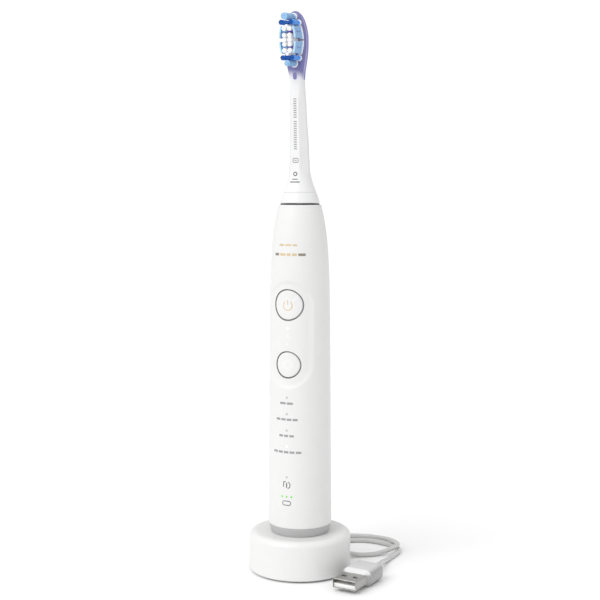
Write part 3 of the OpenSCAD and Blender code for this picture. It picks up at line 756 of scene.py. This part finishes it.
def make_lights():
    """Small round lenses flush with the front. Each place is (x, z, radius)."""
    groups = (
        ("intensity_dot_lit", [(0, 119, 0.62)], "dot_lit", "clear_guide", "intensity_light_guides"),
        ("intensity_dots_dim", [(0, 115.4, 0.55), (0, 111.5, 0.5)], "dot_off", "clear_guide",
         "intensity_light_guides"),
        ("mode_dots", [(0, z, 0.6) for z in (86.3, 78.5, 70.7, 48.3)], "dot_dim", "clear_guide",
         "mode_light_guides"),
        ("mode_dot_lit", [(0, 63.1, 0.6)], "dot_lit", "clear_guide", "mode_light_guides"),
        ("charge_dots", [(x, 38.9, 0.55) for x in (-2.4, 0, 2.4)], "dot_green", "green_guide",
         "charge_light_guides"),
    )
    for name, places, look, slot, node in groups:
        lenses = []
        for k, (x, z, r) in enumerate(places):
            stations = [(0.001, 0.07), (r * 0.5, 0.06), (r * 0.85, 0.03), (r, 0), (r, -0.3), (0.001, -0.3)]
            lenses.append(polar_solid(f"{name}_{k}", (x, z), stations, front_y, 24))
        finish(join(name, lenses), "handle", look, slot, node)


def join(name, objects):
    """One object holding several separate solids."""
    build = bmesh.new()
    for obj in objects:
        build.from_mesh(obj.data)
    mesh = bpy.data.meshes.new(name)
    build.to_mesh(mesh)
    build.free()
    for obj in objects:
        bpy.data.objects.remove(obj)
    return placed(name, mesh)


# ---- brush head

# The head leans forward from LEAN_Z up, and bends that way over BEND above and below it
LEAN, LEAN_Z, BEND = radians(3.4), 190, 6
PLATE_START, PLATE_HALF, PLATE_TOP = 44.6, 2.9, 76.2
# The plate's side as two curves through (half width, height), and the neck as (height, half width)
PLATE_SIDE = [((3.5, PLATE_START), (4, 52), (5.8, 54.5), (5.8, 63.5)),
              ((5.8, 63.5), (5.8, 69), (3, PLATE_TOP), (0, PLATE_TOP))]
NECK_STATIONS = [(-7.6, 7.7), (-7.0, 7.55), (-5.4, 6.9), (-3.7, 6.3), (-1.8, 5.75), (0, 5.28), (2, 4.95),
                 (4, 4.7), (6, 4.5), (8, 4.38), (15, 4.25), (26, 3.77), (37, 3.55), (PLATE_START, 3.5)]


def leaned(x, y, h):
    """A place in the leaning head's own axes, with h measured along the neck from where it starts to lean."""
    share = smooth((h + BEND) / (2 * BEND))
    a = LEAN * (1 if h > BEND else share)
    shift = -h * sin(LEAN) if h > BEND else -BEND * sin(LEAN) * share ** 1.2
    return (x, y * cos(a) + shift, LEAN_Z + h * cos(LEAN) + y * sin(a))


def leaned_back(place):
    """How far behind the leaning head's own middle plane a place lies."""
    return place.y * cos(LEAN) + (place.z - LEAN_Z) * sin(LEAN)


def smooth_stations(stations, value):
    """A smooth curve through stations, so that the neck has no kinks."""
    i = max(k for k in range(len(stations) - 1) if stations[k][0] <= value or k == 0)
    p = [stations[min(max(i + k, 0), len(stations) - 1)] for k in (-1, 0, 1, 2)]
    t = (value - p[1][0]) / (p[2][0] - p[1][0])
    slope = [(p[k + 1][1] - p[k - 1][1]) / max(p[k + 1][0] - p[k - 1][0], 1e-6) for k in (1, 2)]
    span = p[2][0] - p[1][0]
    risen = smooth(t)
    bent = span * ((t ** 3 - 2 * t ** 2 + t) * slope[0] + (t ** 3 - t ** 2) * slope[1])
    return lerp(p[1][1], p[2][1], risen) + bent


# The middles of the neck's six flats, and the step that finds its front, in degrees
FACET_MIDDLES, FACET_SHARPNESS = (-93, -38, 18, 90, 162, 218), 70
FRONT_STEP = 4
SIDE_LINE = [tuple(bezier(curve, t / 40)) for curve in PLATE_SIDE for t in range(41)]


def head_section(h):
    """Half width, depths in front and behind, and squareness in front and behind of the neck or plate."""
    if h <= PLATE_START:
        w = smooth_stations(NECK_STATIONS, h)
        depth = lerp(w, PLATE_HALF, smooth((h - 35) / 9.6))
        return w, depth, depth, 3.2, 2.4
    w = max(follow([(z, r) for r, z in SIDE_LINE], h), 0.02)
    end = max(0.0, (h - 70) / (PLATE_TOP - 70))
    crown = sqrt(max(1 - end ** 3, 0.0004))
    share = smooth((h - PLATE_START) / 8)
    front = PLATE_HALF * lerp(1, 0.25 + 0.75 * crown, smooth(end))
    return w, front, PLATE_HALF * crown, lerp(3.2, 6, share), lerp(2.4, 2.8, share)


def facet_radius(a, w):
    """The reach from the axis to six soft-edged flats round it, one of them at the front."""
    share = sum(max(0.0, cos(a - radians(middle))) ** FACET_SHARPNESS for middle in FACET_MIDDLES)
    return w * share ** (-1 / FACET_SHARPNESS)


def squared(c, s, w, depth, n):
    return w * copysign(abs(c) ** (2 / n), c), depth * copysign(abs(s) ** (2 / n), s)


def head_point(a, h):
    """A place on the neck or plate at an angle, in the leaning head's own plane."""
    w, front, back, n_front, n_back = head_section(h)
    c, s = cos(a), sin(a)
    x, y = squared(c, s, w, front if s < 0 else back, n_front if s < 0 else n_back)
    if h > PLATE_START:
        groove = 0.34 * smooth((h - PLATE_START - 3) / 7) * min(1, w / 3)
        sunk = groove * max(0, 1 - ((y - 0.9) / 0.6) ** 2) ** 2 if abs(x) > w / 2 else 0
        return x - copysign(sunk, x), y
    r = lerp(w, facet_radius(a, w), smooth((h + 4) / 12))
    share = smooth((h - 32) / 12.6)
    return lerp(r * c, x, share), lerp(r * s, y, share)


def head_ring(h, sides):
    return [leaned(*head_point(a, h), h) for a in angles(sides)]


def head_front(x, h):
    """The leaning head's front surface in its own axes."""
    if h > PLATE_START:
        w, front, _, n, _ = head_section(h)
        return -front * max(1 - min(abs(x) / w, 1) ** n, 0) ** (1 / n)
    before, after = (head_point(radians(-90 + d), h) for d in (-FRONT_STEP, FRONT_STEP))
    a = -pi / 2 + atan2(x, -lerp(before[1], after[1], 0.5))
    return head_point(a, h)[1]


def make_neck():
    sides, collar_top = 120, 182.25
    foot = ((2.6, 178.4), (6, 178.4), (6, 182.0), (7.45, collar_top), (7.6, 182.45))
    rings = [[(r * cos(a), r * sin(a), z) for a in angles(sides)] for r, z in foot]
    heights = [-7.3 + 0.5 * k for k in range(1, 44)] + [14.7 + k for k in range(30)] + [PLATE_START]
    rings += [head_ring(h, sides) for h in heights]
    finish(loft("neck", rings), "brush_head", "neck", "white_satin", "brush_neck")
    outline = rounded([(6, 177.45), (9.15, 177.4), (9.4, 177.65, 0.2), (7.95, 182.0, 0.25), (7.5, collar_top),
                       (6, collar_top)], 5)
    collar = lathe("collar", outline, 128, looped=True)
    finish(collar, "brush_head", "collar", "white_satin", "neck_collar")
    lip_in, lip_out, seat_r, low, ledge, top = 7.1, 9.3, 8.6, 175.6, 176.5, 177.15
    lip = rounded([(lip_in, low), (lip_in, top), (9.1, top), (lip_out, top - 0.2, 0.15), (lip_out, ledge),
                   (seat_r, ledge), (seat_r, low)], 4)
    finish(lathe("shaft_gasket", lip, 128, looped=True), "handle", "seal", "seal_dark", "neck_seal")


def make_plate():
    heights = [PLATE_START + 0.5 * k for k in range(61)]
    heights += [74.9, 75.2, 75.5, 75.7, 75.9, 76.05, 76.15, PLATE_TOP]
    plate = loft("plate", [head_ring(h, 192) for h in heights])
    depths = [leaned_back(v.co / MM) for v in plate.data.vertices]
    # Darker tip purple everywhere but a paler band along each side below the top: at the back this is the
    # plate's own two-tone colour, on the front face round the tuft rims it is painted shade, and it also
    # turns darker towards the top.
    stripes = [smooth((y + 1.9) / 0.5) * smooth((-0.3 - y) / 0.6) for y in depths]
    below_top = [smooth((LEAN_Z + 75 - v.co.z / MM) / 6) for v in plate.data.vertices]
    set_tips(plate, [1 - stripe * share for stripe, share in zip(stripes, below_top)])
    finish(plate, "brush_head", "plate", "purple_plastic", "brush_plate", sharp=60)
    middle = 46.6
    oval = rounded_loop(0, middle, 2, 3.4, 0.98, 8)
    rings = [[leaned(x * s, head_front(x * s, h) - lift, lerp(middle, h, s)) for x, h in oval]
             for s, lift in ((0.05, 0.05), (0.9, 0.05), (1.0, 0.0), (1.0, -0.4))]
    finish(loft("window", rings), "brush_head", "window", "purple_plastic", "reminder_window")


# Each tuft is (middle or half spread, height, radius, length), and a white one (height, radius)
LIGHT_TUFTS = [(0, 73.2, 1.55, 10.4), (0, 52.2, 1.4, 8.3)]
DARK_TUFTS = [(2.45, 70.6, 1.15, 8.4), (2.35, 54.7, 1.15, 7.7)]
WHITE_X, WHITE_L = 1.35, 8
BRISTLE_R, BRISTLE_PITCH, BRISTLE_SPLAY, TUFT_MARGIN = 0.107, 0.19, 0.05, 0.08
WHITE_ROWS = [(67.8, 1.14), (64.8, 1.04), (62.75, 1.04), (60.7, 1.04), (57.9, 1.14)]
WHITE_ENDS = [(69.0, 0.78), (56.35, 0.82)]
# The guards' heights, half length, place and thickness, and the radius and middle of their bow
GUARDS, GUARD_HALF, GUARD_X, GUARD_T = (66.2, 59.3), 2.7, 4.5, 0.9
GUARD_BOW, GUARD_MIDDLE = 20, 62.75
BARS, BAR_HALF, BAR_OUT = (66.4, 59.3), 2.7, 7
RIM_GROW = {"light": 0.42, "dark": 0.38, "guard": 0.5}


def filament(points, faces, tips, x, h, r, length, lean, cap):
    """One bristle, standing out of the plate's front. Its rounded end has the tip's colour."""
    sides, first = 5, len(points)
    stations = ((-0.3, 1.0, 0), (length * 0.5, 1.0, 0), (length - cap - 0.1, 1.0, 0), (length - cap, 1.0, 1),
                (length - 0.05, 0.96, 1), (length, 0.7, 1))
    turn = rng.random() * tau
    for out, share, tip in stations:
        k = max(out, 0) / length
        cx, ch = x + lean[0] * k * k, h + lean[1] * k * k
        for a in angles(sides, turn):
            x_off, h_off = r * share * cos(a), r * share * sin(a)
            points.append(leaned(cx + x_off, -PLATE_HALF - out, ch + h_off))
            tips.append(tip)
    faces += loft_faces(len(stations), sides, first)
    last = first + sides * (len(stations) - 1)
    faces += [tuple(last + k for k in range(sides)), tuple(first + k for k in reversed(range(sides)))]


def fill(inside, x0, x1, h0, h1, pitch):
    """Places on a triangular grid where inside(x, h) holds, each moved a little."""
    places, row, h = [], 0, h0
    while h <= h1:
        x = x0 + (pitch / 2 if row % 2 else 0)
        while x <= x1:
            if inside(x, h):
                places.append((x + rng.uniform(-0.015, 0.015), h + rng.uniform(-0.015, 0.015)))
            x += pitch
        row, h = row + 1, h + pitch * 0.866
    return places


def bristles(name, groups, look, slot, node, cap=0.45):
    """groups are (inside, box, length, centre). cap is how much of a bristle's end has the tip's colour."""
    points, faces, tips = [], [], []
    for inside, box, length, (cx, ch) in groups:
        for x, h in fill(inside, *box, BRISTLE_PITCH):
            lean = ((x - cx) * BRISTLE_SPLAY, (h - ch) * BRISTLE_SPLAY)
            filament(points, faces, tips, x, h, BRISTLE_R, length + rng.uniform(-0.03, 0.02), lean, cap)
    obj = raw_solid(name, points, faces)
    set_tips(obj, tips)
    finish(obj, "brush_head", look, slot, node, sharp=80)


def round_tuft(cx, ch, r, length):
    def inside(x, h):
        return hypot(x - cx, h - ch) <= r - TUFT_MARGIN
    return (inside, (cx - r, cx + r, ch - r, ch + r), length, (cx, ch))


def dumbbell_tuft(half, ch, r, length):
    def inside(x, h):
        ends = min(hypot(x - half, h - ch), hypot(x + half, h - ch)) <= r - TUFT_MARGIN
        return ends or (abs(x) < half and abs(h - ch) < 0.27 * r)
    return (inside, (-half - r, half + r, ch - r, ch + r), length, (0, ch))


def make_tufts():
    lights, darks = [round_tuft(*t) for t in LIGHT_TUFTS], [dumbbell_tuft(*t) for t in DARK_TUFTS]
    whites = [round_tuft(x, h, r, WHITE_L) for h, r in WHITE_ROWS for x in (-WHITE_X, WHITE_X)]
    whites += [round_tuft(0, h, r, WHITE_L) for h, r in WHITE_ENDS]
    bristles("tufts_light_blue", lights, "bristle_light", "light_blue_bristle", "light_blue_tufts")
    bristles("tufts_dark_blue", darks, "bristle_dark", "dark_blue_bristle", "dark_blue_tufts", cap=0.12)
    bristles("tufts_white", whites, "bristle_white", "white_bristle", "white_tufts")


def guard_line(side, centre, grow):
    """The bowed outline of a guard in plan, as (x, height) points going round it."""
    middle, steps, loop = GUARD_X - GUARD_BOW, 18, []
    for r, turned in ((GUARD_BOW + grow, 1), (GUARD_BOW - GUARD_T - grow, -1)):
        for k in range(steps + 1):
            h = centre - GUARD_MIDDLE + lerp(-1, 1, k / steps) * turned * (GUARD_HALF + grow)
            loop.append((side * (middle + sqrt(r * r - h * h)), GUARD_MIDDLE + h))
    return loop


def guard_part(name, side, centre, stations):
    """A stretch of a guard's wall. Stations are (height off the plate, growth of its outline, pull in)."""
    rings = []
    for out, grow, pull in stations:
        line = guard_line(side, centre, grow)
        rings.append([leaned(x - side * pull, -PLATE_HALF - out, h) for x, h in line])
    return loft(name, rings)


def make_guards():
    """Two pairs of walls whose ends are a paler copy of their rubber, as painted light, the bars between
    them, each bar's right half a dark purple copy as painted shade, and the short marks on their outsides.
    """
    wall = ((-0.3, 0.08, 0), (0.6, 0.05, 0), (2.5, 0, 0.03), (5, -0.03, 0.1), (7.1, -0.06, 0.16))
    end = ((7.1, -0.05, 0.16), (7.42, -0.07, 0.16), (7.55, -0.13, 0.16), (7.6, -0.22, 0.16))
    walls, ends, rims, bars, shaded_bars, marks = [], [], [], [], [], []
    for centre, bar_h in zip(GUARDS, BARS):
        for side in (-1, 1):
            walls.append(guard_part("guard", side, centre, wall))
            ends.append(guard_part("guard_end", side, centre, end))
            rims.append(rim_ring(guard_line(side, centre, RIM_GROW["guard"])))
            bow = sqrt(GUARD_BOW ** 2 - (bar_h - GUARD_MIDDLE) ** 2)
            face = side * (GUARD_X - GUARD_BOW + bow - 0.06)
            mark = (face - 0.09, face + 0.09), (bar_h - 0.28, bar_h + 0.28), (1.9, 5.4)
            marks.append(block("mark", *mark))
        tall, out = (bar_h - 0.3, bar_h + 0.3), (-0.3, BAR_OUT)
        bars.append(block("bar", (-BAR_HALF - 0.4, -0.1), tall, out))
        # The right half of each bar is a dark purple copy of it, as painted shade.
        shaded_bars.append(block("shaded_bar", (-0.1, BAR_HALF + 0.4), tall, out))
    finish(join("guards", walls), "brush_head", "guard", "guard_rubber", "gum_guards", sharp=50)
    # The guard ends are a paler copy of the guards' rubber: painted light on the faces towards the light.
    finish(join("guard_ends", ends), "brush_head", "guard_end", "guard_rubber", "gum_guards", sharp=50)
    finish(join("bars_blue", bars), "brush_head", "bar_blue", "bar_purple", "guard_bars")
    finish(join("bars_painted_shade", shaded_bars), "brush_head", "bar", "bar_purple", "guard_bars")
    finish(join("guard_marks", marks), "brush_head", "bar_faint", "bar_purple")
    rims += [rim_ring(arc(x, h, r + RIM_GROW["light"], 0, 350, 35)) for x, h, r, _ in LIGHT_TUFTS]
    rims += [rim_ring(dumbbell_loop(half, h, r + RIM_GROW["dark"])) for half, h, r, _ in DARK_TUFTS]
    finish(join("rims", rims), "brush_head", "rim", "white_satin", "tuft_rims", sharp=50)


def block(name, across, up, out, edge=0.06):
    """A small block on the leaning plate, with its outer edges broken. Each range is in millimetres."""
    (x0, x1), (h0, h1) = sorted(across), up
    rings = []
    for depth, i in ((out[0], 0), (out[1] - edge, 0), (out[1], edge)):
        corners = ((x0 + i, h0 + i), (x1 - i, h0 + i), (x1 - i, h1 - i), (x0 + i, h1 - i))
        rings.append([leaned(x, -PLATE_HALF - depth, h) for x, h in corners])
    return loft(name, rings)


def dumbbell_loop(half, h, r):
    """The outline of two round ends with a slim waist between them."""
    lift = asin(0.6)
    loop = []
    for side, start in ((1, -pi), (-1, 0)):
        for k in range(25):
            a = start + lerp(lift, tau - lift, k / 24)
            loop.append((side * half + r * cos(a), h + r * sin(a)))
    return loop


def rim_ring(loop):
    """A low soft cushion with the outline of a loop, lying on the plate's front."""
    cx, ch = (sum(p[k] for p in loop) / len(loop) for k in (0, 1))
    rings = []
    for out, shrink in ((-0.3, 0.0), (0.3, 0.0), (0.45, 0.06), (0.52, 0.16)):
        ring = []
        for x, h in loop:
            length = max(hypot(x - cx, h - ch), 0.01)
            k = 1 - shrink / length
            ring.append(leaned(cx + (x - cx) * k, -PLATE_HALF - out, ch + (h - ch) * k))
        rings.append(ring)
    return loft("rim", rings)


# ---- carried CAD nodes

def dress_nodes():
    looks = {
        "board": ("charger_circuit_board", "handle_circuit_board"),
        "component": ("charger_board_components", "board_components", "button_switches"),
        "inner": ("charger_bobbin", "inner_chassis", "drive_frame", "charger_base_plate"),
        "copper": ("charger_coil", "receiver_coil", "stator_windings"),
        "bronze": ("lower_shaft_bearing", "upper_shaft_bearing"),
        "ferrite": ("charger_ferrite_core", "stator_core", "rotor_magnets"),
        "steel": ("charger_screws", "battery_tabs", "torsion_bar", "drive_shaft", "rotor_yoke", "shaft_clip"),
        "wrap": ("battery",),
        "seal": ("end_cap_seal",),
    }
    for look, names in looks.items():
        for name in names:
            NODES[name].data.materials.clear()
            NODES[name].data.materials.append(MATS[look])


def grey(value):
    return (value, value, value)


def make_materials():
    axis, foot = Vector((0, -sin(LEAN), cos(LEAN))), (0, 0, LEAN_Z * MM)
    leant_back = axis + Vector((0.15, 1.1 * cos(LEAN), 1.1 * sin(LEAN)))
    white = (0.74, 0.74, 0.745)
    return {
        "white_body": material("white_satin_plastic", (0.715, 0.715, 0.71), 0.36, 1500, 0.008, 0.02,
                               edge_paling=0.15),
        "collar": material("collar_plastic", white, 0.4, 1400, 0.01, 0.02),
        "neck": material("neck_plastic", white, 0.38, 1400, 0.01, 0.02),
        # Its darker tip purple is its own two-tone colour at the back and painted shade on the front face
        # round the rims.
        "plate": material("plate_plastic", (0.31, 0.30, 0.53), 0.28, 1400, 0.03, 0.02, coat=0.3,
                          tip=(0.14, 0.135, 0.34),
                          fade=((0.73, 0.73, 0.80), foot, leant_back, 0.0422, 0.0468)),
        "window": material("window_plastic", (0.19, 0.17, 0.40), 0.3, 1500, 0.03, 0.01, coat=0.3),
        "end_cap": material("end_cap_plastic", grey(0.44), 0.42, 1500, 0.02, 0.04, edge_paling=0.2),
        "ring": material("ring_chrome", (0.11, 0.11, 0.115), 0.25, 1500, 0.02, 0.0, coat=0.5),
        "foot": material("foot_rubber", grey(0.35), 0.75, 2500, 0.05, 0.15),
        "lead": material("lead_jacket", (0.54, 0.54, 0.535), 0.24, 1800, 0.02, 0.04, coat=0.6),
        # Its paler tip colour is the painted light on the plug's top and the painted highlight on its front
        # bevel.
        "plug": material("plug_jacket", grey(0.34), 0.30, 2200, 0.02, 0.05, coat=0.2, tip=grey(0.72)),
        "tie": material("tie_strap", grey(0.50), 0.7, 3000, 0.06, 0.3, sheen=0.3),
        "nickel": material("nickel_plate", (0.42, 0.415, 0.40), 0.28, 900, 0.03, 0.03, metallic=1.0,
                           streak=(1, 0.15, 1)),
        "tongue": material("tongue_plastic", (0.80, 0.80, 0.79), 0.45, 1500, 0.02, 0.03),
        "gold_metal": material("contact_gold", (0.80, 0.72, 0.55), 0.25, 1500, 0.03, 0.03, metallic=1.0),
        "gold_print": material("gold_print", (0.62, 0.49, 0.31), 0.4, 2500, 0.06, 0.03, metallic=0.2),
        "bronze_print": material("bronze_print", (0.24, 0.21, 0.17), 0.45, 2500, 0.06, 0.03),
        "grey_print": material("grey_print", (0.30, 0.30, 0.31), 0.5, 2500, 0.05, 0.02),
        "dark_print": material("dark_print", (0.10, 0.10, 0.105), 0.5, 2500, 0.05, 0.02),
        "dot_lit": material("dot_lit", grey(0.95), 0.4, 1500, 0.01, 0.0, glow=0.5),
        "dot_off": material("dot_off", grey(0.80), 0.4, 1500, 0.02, 0.0, coat=0.3),
        "dot_dim": material("dot_dim", grey(0.50), 0.4, 1500, 0.02, 0.0, coat=0.3),
        "dot_green": material("dot_green", (0.22, 0.62, 0.13), 0.35, 1500, 0.03, 0.0, glow=0.12),
        # The light tufts' paler tip colour is painted light on the bristle ends, which face the light.
        "bristle_light": material("bristle_light_blue", (0.29, 0.50, 0.75), 0.42, 2500, 0.10, 0.0,
                                  tip=(0.40, 0.66, 0.95)),
        "bristle_dark": material("bristle_dark_blue", (0.11, 0.36, 0.88), 0.4, 2500, 0.10, 0.0,
                                 tip=(0.001, 0.12, 0.52)),
        # The white tufts' glow and their slightly paler tip colour are painted light.
        "bristle_white": material("bristle_white", (0.86, 0.86, 0.88), 0.45, 2500, 0.03, 0.0,
                                  sheen=0.3, glow=0.12, tip=grey(0.90)),
        "guard": material("guard_rubber", (0.24, 0.41, 0.66), 0.5, 2200, 0.05, 0.06),
        # A paler copy of the guard rubber, as painted light on the guards' ends.
        "guard_end": material("guard_end_painted_light", (0.44, 0.70, 0.96), 0.5, 2200, 0.03, 0.04),
        "rim": material("rim_rubber", (0.80, 0.80, 0.84), 0.45, 2200, 0.02, 0.03),
        # A dark purple copy of the bar rubber, as painted shade on the bars' right halves.
        "bar": material("bar_painted_shade", (0.08, 0.045, 0.36), 0.5, 2200, 0.05, 0.05),
        "bar_blue": material("bar_blue_rubber", (0.14, 0.32, 0.62), 0.5, 2200, 0.05, 0.05),
        "bar_faint": material("bar_mark_rubber", (0.16, 0.25, 0.50), 0.5, 2200, 0.05, 0.05),
        "board": material("circuit_board", (0.02, 0.14, 0.06), 0.4, 900, 0.15, 0.08, coat=0.3),
        "component": material("component_body", grey(0.02), 0.5, 1500, 0.1, 0.08),
        "inner": material("inner_moulding", (0.55, 0.55, 0.53), 0.5, 1200, 0.03, 0.08),
        "copper": material("enamelled_copper", (0.45, 0.18, 0.07), 0.3, 900, 0.1, 0.3, metallic=0.9,
                           streak=(1, 1, 8)),
        "bronze": material("sintered_bronze", (0.45, 0.28, 0.13), 0.45, 1800, 0.1, 0.2, metallic=1.0),
        "ferrite": material("ferrite_block", (0.03, 0.03, 0.033), 0.6, 1500, 0.15, 0.15),
        "steel": material("turned_steel", grey(0.5), 0.28, 900, 0.04, 0.05, metallic=1.0,
                          streak=(1, 1, 6)),
        "wrap": material("battery_wrap", (0.04, 0.13, 0.30), 0.3, 700, 0.06, 0.03, coat=0.4),
        "seal": material("seal_rubber", grey(0.07), 0.6, 1800, 0.1, 0.08),
    }


make_camera()
MATS = make_materials()
sleeve = make_strain_relief()
tie = make_tie()
plug = make_plug()
make_lead()
make_studio()
make_charger()
make_housing()
make_button("power", "power_button", POWER_Z, POWER_R, "power_button_cap", "power_button_ring")
make_button("mode", "mode_button", MODE_Z, MODE_R, "mode_button_cap", "mode_button_ring")
make_end_cap()
make_front_prints()
make_neck_prints()
make_lights()
make_neck()
make_plate()
make_tufts()
make_guards()
dress_nodes()
